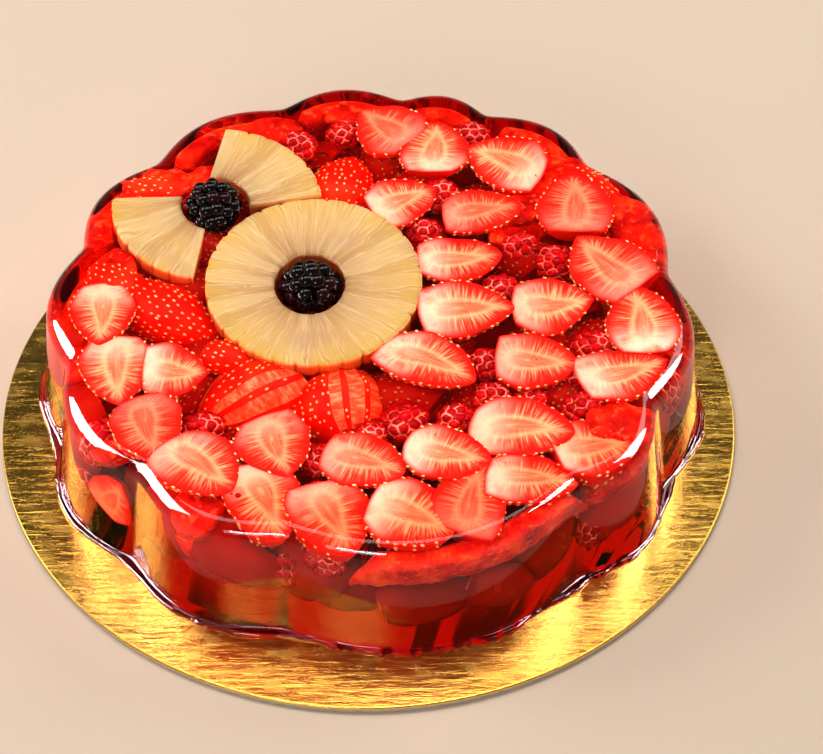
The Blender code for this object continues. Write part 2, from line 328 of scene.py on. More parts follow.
def make_jelly():
    """The scalloped body, with a ragged foot where it set on the board."""
    columns = 720
    base = BOARD_TOP - WETTING
    height = JELLY_TOP - base
    # each step up the wall: offset, level, and how ragged. A positive offset is the foot's reach, 0 to -1 is
    # a share of the wall's draft, and beyond -1 the rest is a share of the rim's fillet.
    profile = [(FOOT_WIDTH, 0.0, 1.0), (FOOT_WIDTH + 0.25 * MM, 0.4 * FOOT_HEIGHT, 1.0),
               (FOOT_WIDTH, 0.75 * FOOT_HEIGHT, 1.0), (0.75 * FOOT_WIDTH, 0.97 * FOOT_HEIGHT, 0.9),
               (0.5 * FOOT_WIDTH, FOOT_HEIGHT, 0.7),
               (0.25 * FOOT_WIDTH, 1.15 * FOOT_HEIGHT, 0.4), (0.1 * FOOT_WIDTH, 1.5 * FOOT_HEIGHT, 0.1)]
    wall_low, wall_high = 2.2 * FOOT_HEIGHT, height - RIM_FILLET
    for step in range(13):
        share = step / 12
        profile.append((-share, wall_low + (wall_high - wall_low) * share, 0.0))
    for step in range(1, 13):
        turn = math.pi / 2 * step / 12
        profile.append((-1 - (1 - math.cos(turn)), wall_high + RIM_FILLET * math.sin(turn), 0.0))
    angles = np.arange(columns) * 360.0 / columns
    wall = np.array([wall_radius(a) for a in angles])
    back = np.array([back_share(a) for a in angles])
    draft = WALL_DRAFT - BACK_UPRIGHT * back
    foot = np.mean([np.roll(wall, shift) for shift in range(-14, 15)], axis=0)
    foot = np.maximum(foot, wall)
    broken = 0.35 + 0.65 * np.clip((np.cos(np.radians(angles - FOOT_BROKEN)) + 0.2) / 0.8, 0, 1)
    circle = [Vector((math.cos(math.radians(a)) * 7, math.sin(math.radians(a)) * 7, 3.0)) for a in angles]
    rag = broken * np.array([noise.fractal(spot, 0.9, 2.3, 5) for spot in circle])
    points = []
    for offset, level, ragged in profile:
        if offset > 0:
            out = offset * (1 - (1 - BACK_FOOT) * back)
        else:
            out = max(offset, -1.0) * draft + min(0.0, offset + 1.0) * RIM_FILLET
        radius = wall + (foot - wall) * min(1.0, ragged * 1.2) + out
        radius = radius + ragged * 2.2 * MM * rag * (1 - 0.8 * back)
        lift = level * (1 + 0.5 * ragged * rag) if level > 0 else 0.0
        points.append(np.stack([CENTRE_X + radius * np.cos(np.radians(angles)),
                                CENTRE_Y + radius * np.sin(np.radians(angles)),
                                base + lift + 0 * angles], -1))
    rim = wall - draft - RIM_FILLET
    for share in (0.985, 0.96, 0.93, 0.89, 0.84, 0.78, 0.7, 0.6, 0.48, 0.35, 0.2, 0.06):
        radius = rim * share
        x = CENTRE_X + radius * np.cos(np.radians(angles))
        y = CENTRE_Y + radius * np.sin(np.radians(angles))
        swell = np.array([noise.noise(Vector((px * 28, py * 28, 1.0))) for px, py in zip(x, y)])
        points.append(np.stack([x, y, JELLY_TOP + 0.12 * MM * swell * min(1.0, 14 * (1 - share))], -1))
    grid = np.concatenate(points)
    faces = grid_faces(len(points), columns, wrap=True)
    last = (len(points) - 1) * columns
    faces.append(tuple(range(last, last + columns)))
    faces.append(tuple(reversed(range(columns))))
    jelly = Piece()
    jelly.add(grid, faces)
    return jelly.finish("jelly_body", [jelly_material()], replaces=["jelly"], slot="red_jelly")


# ---- strawberries ----

def strawberry_width(share, point=0.75, stem=0.72):
    """Half width over the greatest half width, from the stem at 0 to the tip at 1."""
    widest = 0.34
    if share < widest:
        return 1 - (1 - stem) * ((widest - share) / widest) ** 2
    return max(0.0, 1 - ((share - widest) / (1 - widest)) ** 2) ** point


def strawberry_material():
    """Cut flesh: a red rim, fine pale streaks running out from an oval core, paler at the stem."""
    shader = Shader("strawberry_flesh")
    around, out, seed = shader.split(shader.attribute("local"))
    across, along, pale = shader.split(shader.attribute("flat"))
    seed_far = shader.math("MULTIPLY", seed, 7.0)
    streak = shader.noise(shader.join(shader.math("MULTIPLY", around, 92.0),
                                      shader.math("MULTIPLY", out, 1.1), seed_far), 1.0, 2.0, 0.6)
    hair = shader.noise(shader.join(shader.math("MULTIPLY", around, 260.0),
                                    shader.math("MULTIPLY", out, 4.5), seed_far), 1.0, 2.0, 0.6)
    cloud = shader.noise(shader.join(shader.math("MULTIPLY", across, 1.4),
                                     shader.math("MULTIPLY", along, 3.2), seed_far), 1.0, 4.0, 0.6)
    wander = shader.math("MULTIPLY", shader.math("SUBTRACT", cloud, 0.5), 0.55)
    depth = shader.math("ADD", out, wander)
    flesh = shader.ramp(depth, [(0.0, linear(255, 144, 98)), (0.30, linear(254, 98, 54)),
                                (0.52, linear(246, 50, 20)), (0.76, linear(230, 24, 6)),
                                (1.0, linear(208, 12, 4))])
    streaks = shader.math("ADD", shader.band(streak, 0.46, 0.66),
                          shader.math("MULTIPLY", shader.band(hair, 0.5, 0.8), 0.4), clamp=True)
    reach = shader.math("MULTIPLY", shader.band(depth, 0.95, 0.35), shader.band(out, 0.0, 0.3))
    amount = shader.math("MULTIPLY", shader.math("MULTIPLY", streaks, reach), 0.80)
    streaked = shader.mix(amount, flesh, linear(255, 194, 144))
    between = shader.math("MULTIPLY", shader.band(streak, 0.5, 0.32), shader.band(out, 0.35, 0.8))
    streaked = shader.mix(shader.math("MULTIPLY", between, 0.5), streaked, linear(226, 22, 10))
    # the oval core, which narrows to the tip
    past = shader.math("SUBTRACT", along, 0.36)
    length = shader.math("MAXIMUM", shader.math("DIVIDE", past, 0.44), shader.math("DIVIDE", past, -0.27))
    width = shader.math("DIVIDE", across, shader.math("SUBTRACT", 0.34, shader.math("MULTIPLY", past, 0.35)))
    inside = shader.math("SQRT", shader.math("ADD", shader.math("MULTIPLY", length, length),
                                             shader.math("MULTIPLY", width, width)))
    inside = shader.math("ADD", inside, shader.math("MULTIPLY", shader.math("SUBTRACT", cloud, 0.5), 0.7))
    grain = shader.noise(shader.join(shader.math("MULTIPLY", across, 16.0),
                                     shader.math("MULTIPLY", along, 3.0), seed_far), 1.0, 2.0)
    core = shader.ramp(shader.math("MULTIPLY", inside, 0.6),
                       [(0.0, linear(255, 178, 134)), (0.10, linear(250, 96, 60)),
                        (0.36, linear(244, 70, 40)), (0.56, linear(255, 186, 138)),
                        (0.70, linear(255, 154, 106)), (1.0, linear(250, 92, 54))])
    grained = shader.math("MULTIPLY", shader.band(grain, 0.45, 0.75), 0.45)
    core = shader.mix(grained, core, linear(255, 200, 158))
    cored = shader.mix(shader.math("MULTIPLY", shader.band(inside, 1.5, 0.9), 0.6), streaked, core)
    # the stem end is bleached
    bleach = shader.math("MULTIPLY", shader.band(along, 0.48, 0.0), shader.band(out, 1.02, 0.75))
    bleach = shader.math("MULTIPLY", bleach, shader.math("MULTIPLY", pale, shader.band(cloud, 0.2, 0.55)))
    bleached = shader.mix(shader.math("MULTIPLY", bleach, 0.8), cored, linear(255, 220, 192))
    redder = shader.mix(shader.math("MULTIPLY", shader.band(pale, 0.75, 0.3), 0.45), bleached,
                        linear(230, 26, 12))
    speck = shader.noise(shader.place(), 900.0, 0.0)
    specked = shader.mix(shader.band(speck, 0.84, 0.87), redder, linear(60, 20, 8))
    rimmed = shader.mix(shader.band(out, 0.95, 0.99), specked, linear(214, 10, 4))
    shader.surface(Base_Color=rimmed, Roughness=0.3, Specular_IOR_Level=UNDER_JELLY)
    shader.bump(shader.math("ADD", streak, hair), 0.3 * MM, 0.6)
    return shader.material


def strawberry_skin(name, shade):
    """Bright red skin, more orange in places and dimpled; shade, from 0 to 1, darkens it as painted shade."""
    shader = Shader(name)
    place = shader.place()
    cloud = shader.noise(place, 45.0, 3.0)
    fine = shader.noise(place, 420.0, 2.0)
    red = shader.ramp(cloud, [(0.25, linear(200 * shade, 8, 4)), (0.5, linear(232 * shade, 22 * shade, 8)),
                               (0.75, linear(250 * shade, 54 * shade, 18))])
    shader.surface(Base_Color=red, Roughness=0.28, Specular_IOR_Level=UNDER_JELLY)
    shader.bump(fine, 0.3 * MM, 0.35)
    return shader.material


def seed_material(name, shade):
    """Pale yellow seeds, some browner; shade, from 0 to 1, darkens them as painted shade."""
    shader = Shader(name)
    tone = shader.noise(shader.place(), 300.0, 1.0)
    browner = linear(248 * shade, 196 * shade, 104 * shade)
    paler = linear(255 * shade, 230 * shade, 164 * shade)
    shader.surface(Base_Color=shader.mix(shader.band(tone, 0.4, 0.65), browner, paler), Roughness=0.4)
    return shader.material


def ellipsoid(rows=5, columns=7, reach=180.0):
    """Points and faces of a small closed round shape of radius 1, flat-bottomed if reach is under 180."""
    tilts = [math.radians(reach) * i / rows for i in range(1, rows if reach == 180.0 else rows + 1)]
    points = [(0, 0, 1)]
    for tilt in tilts:
        points += [(math.sin(tilt) * math.cos(math.tau * j / columns),
                    math.sin(tilt) * math.sin(math.tau * j / columns),
                    math.cos(tilt)) for j in range(columns)]
    points.append((0, 0, min(-0.4, math.cos(math.radians(reach)))))
    faces = [(0, 1 + j, 1 + (j + 1) % columns) for j in range(columns)]
    faces += grid_faces(len(tilts), columns, wrap=True, start=1, flip=True)
    last = len(points) - 1
    first = last - columns
    faces += [(last, first + (j + 1) % columns, first + j) for j in range(columns)]
    return np.array(points, float), faces


SEED = ellipsoid(4, 7)
PLAIN_SEED = ellipsoid(3, 5)


def add_seed(seeds, place, normal, along, size, plain=False):
    """A seed lying in the skin, its long side along the fruit."""
    normal = normal / np.linalg.norm(normal)
    along = along - normal * np.dot(along, normal)
    along = along / np.linalg.norm(along)
    across = np.cross(normal, along)
    axes = np.stack([across * 0.42 * size, along * 0.68 * size, normal * 0.34 * size], 0)
    points, faces = PLAIN_SEED if plain else SEED
    seeds.add(points @ axes + place, faces)


def add_strawberry(flesh, seeds, dice, place, heading, length, width, roll=0.0, pitch=0.0, deep=0.44,
                   point=None, stem=None, stripes=(), coarse=False, low_seeds=True, bare=False):
    """Half a strawberry: a cut face in its own XY plane, its skin below it.

    Stripes are the shares of its width, from -1 to 1, where slices lie apart and show their flesh.
    """
    point = dice.uniform(0.62, 0.95) if point is None else point
    stem = dice.uniform(0.55, 0.8) if stem is None else stem
    bend = dice.uniform(-0.08, 0.08) * width
    lumps = [dice.uniform(-1, 1) for _ in range(4)]
    seed = dice.uniform(0, 50)
    pale = dice.uniform(0.3, 1.0)
    matrix = frame_at(place, heading, roll, pitch)
    half = width / 2
    side_rows, face_rings = (16, 7) if coarse else (26, 11)
    under_columns = 60 if stripes else 11 if coarse else 17

    def edge(share, side):
        lump = 1 + 0.03 * math.sin(7 * share + lumps[0] * 3 + side)
        lump += 0.02 * math.sin(15 * share + lumps[1] * 3)
        x = side * half * strawberry_width(share, point, stem) * lump + bend * math.sin(math.pi * share)
        return np.array([x, (share - 0.5) * length + 0.05 * length * lumps[3] * side * (1 - share) ** 2, 0.0])

    def skin(share, turn):
        left, right = edge(share, -1), edge(share, 1)
        reach = (right[0] - left[0]) / 2
        skew = (right[1] - left[1]) / 2 * math.cos(turn)
        sunk = 0.0
        for low, high in stripes:
            middle, spread = (low + high) / 2, (high - low) / 2
            sunk = max(sunk, 1 - abs((math.cos(turn) - middle) / spread) ** 4)
        return (left + right) / 2 + np.array([reach * math.cos(turn), skew,
                                              -(2 * deep * reach - 1.3 * MM * sunk) * math.sin(turn)])

    shares = [1 - (1 - i / (side_rows - 1)) ** 1.35 for i in range(side_rows)]
    rim = [edge(s, 1) for s in shares] + [edge(s, -1) for s in reversed(shares[:-1])]
    stem_left, stem_right = rim[-1], rim[0]
    for i in range(1, 8):
        t = i / 8
        dip = 0.03 * length * math.sin(math.pi * t) * (1 + 0.5 * lumps[2])
        rim.append(stem_left + (stem_right - stem_left) * t - np.array([0, dip, 0]))
    rim = np.array(rim)
    core = []
    for x, y, _ in rim:
        share = y / length + 0.5
        core_along = (0.04 + 0.6 * max(share, 0) ** 1.2 - 0.36) * length
        core.append((bend * math.sin(math.pi * share), core_along, 0.0))
    core = np.array(core)
    count = len(rim)
    rings, stored, flat = [], [], []
    for k in range(face_rings):
        d = k / (face_rings - 1)
        ring = core + (rim - core) * d
        shares_here = ring[:, 1] / length + 0.5
        across = (ring[:, 0] - bend * np.sin(math.pi * shares_here)) / half
        flat.append(np.stack([across, np.clip(shares_here, 0, 1), np.full(count, pale)], -1))
        ring[:, 2] += 0.25 * MM * (1 - d ** 2)
        rings.append(ring)
        stored.append(np.stack([np.arange(count) / count, np.full(count, d), np.full(count, seed)], -1))
    turns = [math.pi * j / (under_columns - 1) for j in range(under_columns)]
    under = [skin(s, turn) for s in shares for turn in turns]
    inside = kept_inside(moved(matrix, np.concatenate([np.concatenate(rings), under])))
    shift = inside[0] - moved(matrix, rings[0][0])[0]
    matrix = matrix.copy()
    matrix[:3, 3] += shift
    flesh.add(moved(matrix, np.concatenate(rings)), grid_faces(face_rings, count, wrap=True, flip=True), 0,
              np.concatenate(stored), np.concatenate(flat))
    skin_faces, cut_faces = [], []
    for i, face in enumerate(grid_faces(side_rows, under_columns, flip=True)):
        across = math.cos(turns[i % (under_columns - 1)] + 0.5 * turns[1])
        (cut_faces if any(low < across < high for low, high in stripes) else skin_faces).append(face)
    flat = np.stack([np.tile(np.cos(turns), side_rows), np.repeat(shares, under_columns),
                     np.full(side_rows * under_columns, pale)], -1)
    flesh.add(moved(matrix, under), skin_faces, 1)
    if cut_faces:
        flesh.add(moved(matrix, under), cut_faces, 2, None, flat)
    flesh.add(moved(matrix, under[:under_columns]), [tuple(range(under_columns))], 1)
    along = matrix[:3, :3] @ np.array([0.0, 1.0, 0.0])
    rows = max(5, round(length / (3.6 * MM)))
    for i in range(rows):
        s = 0.06 + 0.88 * (i + 0.5 * dice.random()) / rows
        reach = (edge(s, 1)[0] - edge(s, -1)[0]) / 2
        if reach < 1.5 * MM:
            continue
        rounds = max(3, round(math.pi * reach * (0.5 + deep) / (3.3 * MM)))
        for j in range(rounds + 1):
            turn = math.pi * (j + (0.5 if i % 2 and 0 < j < rounds else 0)) / rounds
            turn = min(max(turn + 0.10 * dice.uniform(-1, 1), 0.01), math.pi - 0.01)
            if dice.random() < 0.1 or any(low - 0.04 < math.cos(turn) < high + 0.04 for low, high in stripes):
                continue
            if bare or (not low_seeds and math.sin(turn) > 0.65):
                continue
            normal = np.array([math.cos(turn) * 2 * deep, 0.25, -math.sin(turn)])
            add_seed(seeds, moved(matrix, skin(s, turn))[0], matrix[:3, :3] @ normal, along,
                     dice.uniform(0.9, 1.25) * MM, coarse)


# place of the middle, heading of the tip, length and width of each half, in mm and degrees; most places
# and headings in these lists were worked out by a scratch program from points picked on the photo
CUT_HALVES = (
    (6, 113, 137, 27, 30), (25, 100, 85, 29, 28), (14, 69, 30, 27, 25), (44, 63, 13, 31, 24),
    (52, 91, 150, 33, 31), (79, 68, 90, 32, 30), (35, 38, 5, 32, 24), (38, 10, 5, 36, 29),
    (70, 14, 5, 30, 29), (63, -16, -8, 30, 28), (96, 37, 129, 35, 32), (106, 5, 95, 35, 28),
    (98, -22, 18, 34, 26), (57, -51, -3, 37, 29), (23, -18, -27, 38, 26), (30, -62, -14, 31, 26),
    (0, -66, -20, 30, 26), (-100, 7, -88, 32, 25), (-97, -24, -85, 35, 28), (-79, -51, -75, 31, 27),
    (-70, -21, -7, 24, 28), (-61, -71, -42, 33, 29), (-32, -59, -72, 31, 29),
)
# the ones at the front rim dip towards it
RIM_HALVES = (
    (-39, -91, -67, 34, 28, -7), (-12, -96, -63, 32, 29, -8), (17, -91, -25, 32, 30, -6),
    (41, -88, 78, 32, 27, 5), (60, -74, -2, 32, 23, -5), (83, -58, 10, 30, 26, -8),
)
SKIN_UP = (
    (-9, 85, 80, 34, 28), (-51, -12, -20, 20, 17), (90, 82, -30, 26, 20), (-86, 79, 160, 22, 18),
    (-97, 31, 120, 26, 22),
)
# sliced ones, skin up: middle, heading, length, width, and the stripes where their flesh shows
SLICED = (
    (-44, -30, 215, 42, 33, ((-0.98, -0.72), (-0.06, 0.22), (0.42, 0.80))),
    (-8, -36, -80, 36, 35, ((-0.16, 0.06), (0.22, 0.56), (0.68, 0.95))),
    (-73, 11, -36, 44, 28, ()),
)
# the ones behind the wall that show: azimuth, inset, height, length, width, roll from facing out, pitch
WALL_HALVES = (
    (217, 8, 23, 24, 22, 0, 60), (203, 18, 25, 32, 28, 180, 20), (186, 16, 24, 32, 28, 180, -30),
    (224, 26, 20, 32, 28, 180, 0), (233, 16, 26, 34, 24, 180, 10), (247, 16, 25, 36, 24, 180, -15),
    (262, 18, 24, 30, 24, 175, 20), (270, 26, 14, 34, 22, 180, 0), (282, 17, 15, 36, 24, 180, 6),
    (294, 9, 15, 28, 20, 172, -25), (305, 20, 18, 32, 26, 180, 30), (322, 18, 24, 30, 26, 160, 40),
    (339, 16, 22, 32, 26, 180, -20), (357, 17, 24, 32, 27, 180, 35),
)
# bent slices that hug the wall: azimuths, inset, bottom, height in mm
WALL_SLICES = (
    (267, 313, 3.5, 29, 11.5), (313, 334, 9, 27, 8), (-20, 8, 9, 22, 14), (13, 41, 6, 20, 20),
    (46, 65, 6, 22, 19), (69, 83, 6, 22, 18), (86, 106, 6, 20, 21), (109, 134, 6, 22, 19),
    (138, 160, 6, 20, 20), (165, 190, 9, 20, 14), (226, 252, 9, 20, 11), (257, 272, 20, 10, 18),
)
# smooth slices just under the others: place, depth below the top, heading, length, width
FLAT_SLICES = (
    (60, 72, 7, 40, 34, 26), (75, 90, 8, -20, 30, 22), (56, 58, 9, 10, 26, 22),
    (-84, 78, 6, 30, 30, 22), (-97, 30, 7, 80, 30, 18), (92, -45, 6, 20, 26, 20),
    (-62, 84, 7, 10, 22, 16), (100, 62, 9, 110, 28, 18), (-8, 122, 8, 0, 24, 14),
    (-40, 112, 8, 20, 26, 16), (-105, -8, 12, 90, 26, 16), (-57, -80, 9, 60, 28, 18),
    (-88, -50, 10, 40, 26, 18),
)
# round red berries near the top: place and width across
RED_BERRIES = (
    (-10, 112, 16), (40, 111, 16), (27, 77, 19), (22, 55, 17), (58, 48, 18), (72, 40, 19), (50, 25, 17),
    (84, -5, 19), (44, -14, 16), (46, -31, 17), (80, -36, 20.5), (33, -42, 17.5), (14, -43, 21),
    (60, -33, 14), (-16, -62, 17), (10, -66, 14), (-45, -70, 16), (-59, -46, 18), (-17, -79, 15),
    (14, -76, 12), (-28, 105, 17), (2, -50, 12), (78, -20, 15), (-46, -80, 13), (-78, -52, 14),
)

# berries behind the wall: azimuth, inset, height
WALL_BERRIES = (
    (211, 13, 37), (206, 14, 15), (255, 13, 24), (263, 14, 34),
    (316, 14, 15), (329, 13, 14), (345, 14, 34), (8, 14, 16), (28, 14, 14), (46, 13, 30), (70, 14, 14),
    (92, 14, 30), (118, 14, 16), (140, 13, 30), (170, 14, 14), (192, 13, 12),
)


def wall_place(azimuth, inset, height):
    """A place behind the wall: how far in and how high above the board, in mm."""
    radius = wall_radius(azimuth) - inset * MM
    return (CENTRE_X + radius * math.cos(math.radians(azimuth)),
            CENTRE_Y + radius * math.sin(math.radians(azimuth)), BOARD_TOP + height * MM)


def make_strawberries():
    """Every strawberry, as cut flesh with skin, and their seeds."""
    dice = random.Random(11)
    flesh, seeds, deep_flesh, deep_seeds = Piece(), Piece(), Piece(), Piece()
    top = JELLY_TOP - COVER
    for x, y, heading, length, width in CUT_HALVES:
        add_strawberry(flesh, seeds, dice, (x * MM, y * MM, top), heading, length * MM, width * MM,
                       roll=dice.uniform(-3, 3), pitch=dice.uniform(-2, 2),
                       low_seeds=math.hypot(x, y - 10) > 80)
    for x, y, heading, length, width, pitch in RIM_HALVES:
        drop = 0.5 * length * MM * math.sin(math.radians(abs(pitch)))
        add_strawberry(flesh, seeds, dice, (x * MM, y * MM, top - drop), heading, length * MM, width * MM,
                       pitch=pitch)
    for x, y, heading, length, width in SKIN_UP:
        add_strawberry(flesh, seeds, dice, (x * MM, y * MM, top - 0.44 * width * MM), heading, length * MM,
                       width * MM, roll=180, stem=0.7)
    for x, y, heading, length, width, stripes in SLICED:
        add_strawberry(flesh, seeds, dice, (x * MM, y * MM, top - 0.40 * width * MM), heading, length * MM,
                       width * MM, roll=180, deep=0.38, point=0.65, stem=0.7, stripes=stripes)
    # a second layer, seen through the gaps of the first
    for row in range(-3, 5):
        for column in range(-4, 5):
            x = 29 * (column + 0.5 * (row % 2)) + dice.uniform(-5, 5)
            y = 26 * row + dice.uniform(-5, 5)
            if math.hypot(x, y - 10) > 94 or math.hypot(x + 20, y - 25) < 30:
                continue
            add_strawberry(deep_flesh, deep_seeds, dice, (x * MM, y * MM, top - dice.uniform(16, 21) * MM),
                           dice.uniform(0, 360), dice.uniform(28, 34) * MM, dice.uniform(24, 29) * MM,
                           roll=dice.choice((180, 180, 150, 25)) + dice.uniform(-15, 15), coarse=True)
    for azimuth, inset, height, length, width, turned, pitch in WALL_HALVES:
        add_strawberry(deep_flesh, deep_seeds, dice, wall_place(azimuth, inset, height), azimuth + 90,
                       length * MM, width * MM, roll=90 + turned, pitch=pitch, coarse=True, bare=True)
    # the side away from the camera is filled in the same way
    for step in range(9):
        azimuth = 16 + step * 18 + dice.uniform(-4, 4)
        width = dice.uniform(24, 29)
        place = wall_place(azimuth, 18 + 0.5 * width, dice.uniform(20, 27))
        add_strawberry(deep_flesh, deep_seeds, dice, place, azimuth + 90, dice.uniform(29, 35) * MM,
                       width * MM, roll=-90 + dice.uniform(-20, 20), pitch=dice.uniform(-40, 40),
                       coarse=True)
    cut, stripe = strawberry_material(), stripe_material()
    flesh.finish("strawberries_top", [cut, strawberry_skin("strawberry_skin", 1.0), stripe], smooth_angle=55,
                 slot="strawberry_flesh")
    # the deeper pieces' skin and seeds are darker copies: painted shade
    deep_flesh.finish("strawberries_deep", [cut, strawberry_skin("strawberry_skin_deep_painted_shade", 0.72), stripe],
                      smooth_angle=55, slot="strawberry_flesh")
    seeds.finish("seeds_top", [seed_material("strawberry_seed", 1.0)], slot="strawberry_flesh")
    deep_seeds.finish("seeds_deep", [seed_material("strawberry_seed_deep_painted_shade", 0.75)], slot="strawberry_flesh")


def stripe_material():
    """Flesh that shows between slices: pink with pale streaks across."""
    shader = Shader("strawberry_stripe")
    across, along, pale = shader.split(shader.attribute("flat"))
    streak = shader.noise(shader.join(shader.math("MULTIPLY", across, 4.0),
                                      shader.math("MULTIPLY", along, 26.0), pale), 1.0, 2.0)
    colour = shader.ramp(streak, [(0.3, linear(250, 60, 32)), (0.5, linear(255, 104, 70)),
                                  (0.68, linear(255, 172, 136))])
    shader.surface(Base_Color=colour, Roughness=0.35, Specular_IOR_Level=UNDER_JELLY)
    shader.bump(streak, 0.4 * MM, 0.4)
    return shader.material


def slice_material():
    """Red flesh of the slices seen edge on, clouded with orange and faintly veined."""
    shader = Shader("strawberry_slice")
    place = shader.place()
    cloud = shader.noise(place, 90.0, 4.0, 0.65)
    fine = shader.noise(shader.stretch(place, (1.0, 1.0, 3.0)), 260.0, 3.0)
    colour = shader.ramp(cloud, [(0.34, linear(150, 6, 4)), (0.48, linear(210, 18, 8)),
                                 (0.60, linear(244, 52, 18)), (0.74, linear(255, 100, 44))])
    veins = shader.math("MULTIPLY", shader.band(fine, 0.56, 0.66), 0.4)
    veined = shader.mix(veins, colour, linear(255, 130, 80))
    shader.surface(Base_Color=veined, Roughness=0.3, Specular_IOR_Level=UNDER_JELLY)
    shader.bump(shader.math("ADD", fine, cloud), 1.2 * MM, 0.5)
    return shader.material


def make_slices():
    """Flat and bent slices under the top layer and behind the wall."""
    dice = random.Random(31)
    slices = Piece()
    ball, faces = ellipsoid(16, 28)
    for x, y, depth, heading, length, width in FLAT_SLICES:
        shape = np.sign(ball) * np.abs(ball) ** np.array([1.0, 1.0, 0.5])
        ragged = np.array([1 + 0.22 * noise.noise(Vector((px * 2.2, py * 2.2, depth + x)))
                           for px, py, pz in shape])
        shape = shape * ragged[:, None] * np.array([width / 2, length / 2, 3.0]) * MM
        spot = (x * MM, y * MM, JELLY_TOP - depth * MM)
        matrix = frame_at(spot, heading, dice.uniform(-12, 12), dice.uniform(-12, 12))
        slices.add(kept_inside(moved(matrix, shape)), faces)
    for first, last, inset, bottom, height in WALL_SLICES:
        columns, ring = 90, 16
        points = []
        for i in range(columns):
            share = i / (columns - 1)
            azimuth = first + (last - first) * share
            close = max(0.03, min(1.0, 9 * share, 9 * (1 - share))) ** 0.5
            wave = noise.fractal(Vector((azimuth * 0.3, 2.0, 7.0)), 0.8, 2.0, 4)
            for j in range(ring):
                turn = math.tau * j / ring
                rise = 0.5 + 0.5 * math.copysign(abs(math.sin(turn)) ** 0.6, math.sin(turn))
                rise = rise * height * close
                if math.sin(turn) < 0:
                    rise += 1.8 * wave
                deep = inset + 5.0 * (1 - math.copysign(abs(math.cos(turn)) ** 0.6, math.cos(turn))) * close
                points.append(wall_place(azimuth, deep + 0.15 * (height - rise), bottom + rise + 2 * share))
        body = grid_faces(columns, ring, wrap=True)
        body += [tuple(reversed(range(ring))), tuple(range((columns - 1) * ring, columns * ring))]
        slices.add(points, body)
    slices.finish("strawberry_slices", [slice_material()], smooth_angle=60, slot="strawberry_flesh")


# ---- round berries made of drupelets ----

def drupelet_centres(radius, stretch, size, taper, dice):
    """Rows of drupelets round an egg about its own +Z."""
    reach = radius - size
    rows = max(4, round(math.pi * reach * (1 + stretch) / 2 / (1.55 * size)))
    for row in range(rows):
        tilt = math.pi * (row + 0.5) / rows
        count = max(3, round(math.tau * math.sin(tilt) * reach / (1.72 * size)))
        narrow = 1.0 - taper * math.cos(tilt)
        shift = dice.random()
        for i in range(count):
            turn = math.tau * (i + shift) / count + 0.10 * dice.uniform(-1, 1)
            lean = tilt + 0.05 * dice.uniform(-1, 1)
            yield np.array([reach * narrow * math.sin(lean) * math.cos(turn),
                            reach * narrow * math.sin(lean) * math.sin(turn),
                            reach * stretch * math.cos(lean)])


def add_berry(piece, dice, place, radius, stretch, size, axis, taper, rows, columns, lowest=-2.0):
    """A berry: a core with overlapping drupelets, each storing how near its neighbours are, in mm."""
    turn = np.array(Vector((0, 0, 1)).rotation_difference(Vector(axis)).to_matrix())
    ball, faces = ellipsoid(7, 12)
    core_scale = np.array([radius - size, radius - size, (radius - size) * stretch])
    piece.add((ball * core_scale) @ turn.T + place, faces, 0, np.tile((3.0, 0.0, 0.5), (len(ball), 1)))
    cap, faces = ellipsoid(rows, columns, 115.0)
    tone = dice.random()
    centres = list(drupelet_centres(radius, stretch, size, taper, dice))
    sizes = [size * dice.uniform(0.94, 1.08) for _ in centres]
    for i, (centre, swell) in enumerate(zip(centres, sizes)):
        if (turn @ centre)[2] < lowest * radius:
            continue
        outward = Vector(centre).normalized()
        lean = np.array(Vector((0, 0, 1)).rotation_difference(outward).to_matrix())
        shape = (cap * swell) @ lean.T + centre
        near = [j for j in range(len(centres)) if j != i and np.linalg.norm(centres[j] - centre) < 3 * size]
        gaps = np.min([np.linalg.norm(shape - centres[j], axis=1) - sizes[j] for j in near], axis=0)
        stored = np.stack([gaps / MM, np.full(len(cap), dice.random()), np.full(len(cap), tone)], -1)
        piece.add(shape @ turn.T + place, faces, 0, stored)


def red_berry_material():
    """Crimson drupelets with thin pale lines painted where they meet, a painted reflection."""
    shader = Shader("red_berry")
    gap, own = shader.split(shader.attribute("local"))[:2]
    patch = shader.noise(shader.place(), 150.0, 2.0)
    # thin pale lines where drupelets meet: painted reflection
    seam_reflection = shader.math("MULTIPLY", shader.band(gap, 0.42, 0.18), shader.band(patch, 0.38, 0.56))
    base = shader.mix(own, linear(140, 0, 12), linear(196, 6, 22))
    glow = shader.mix(shader.band(gap, 0.9, 0.2), base, linear(224, 22, 28))
    shader.surface(Base_Color=shader.mix(seam_reflection, glow, linear(255, 196, 184)), Roughness=0.14,
                   Specular_IOR_Level=0.3)
    return shader.material


def dark_berry_material():
    """Near-black drupelets with a wine-red cast, wet, with small crisp highlights."""
    shader = Shader("dark_berry")
    own = shader.split(shader.attribute("local"))[1]
    base = shader.mix(shader.band(own, 0.6, 1.0), linear(8, 2, 5), linear(40, 3, 12))
    bright = shader.noise(shader.place(), 700.0, 2.0)
    shader.surface(Base_Color=base, Roughness=0.05, IOR=1.4, Specular_IOR_Level=0.45)
    shader.bump(bright, 0.2 * MM, 0.10)
    return shader.material


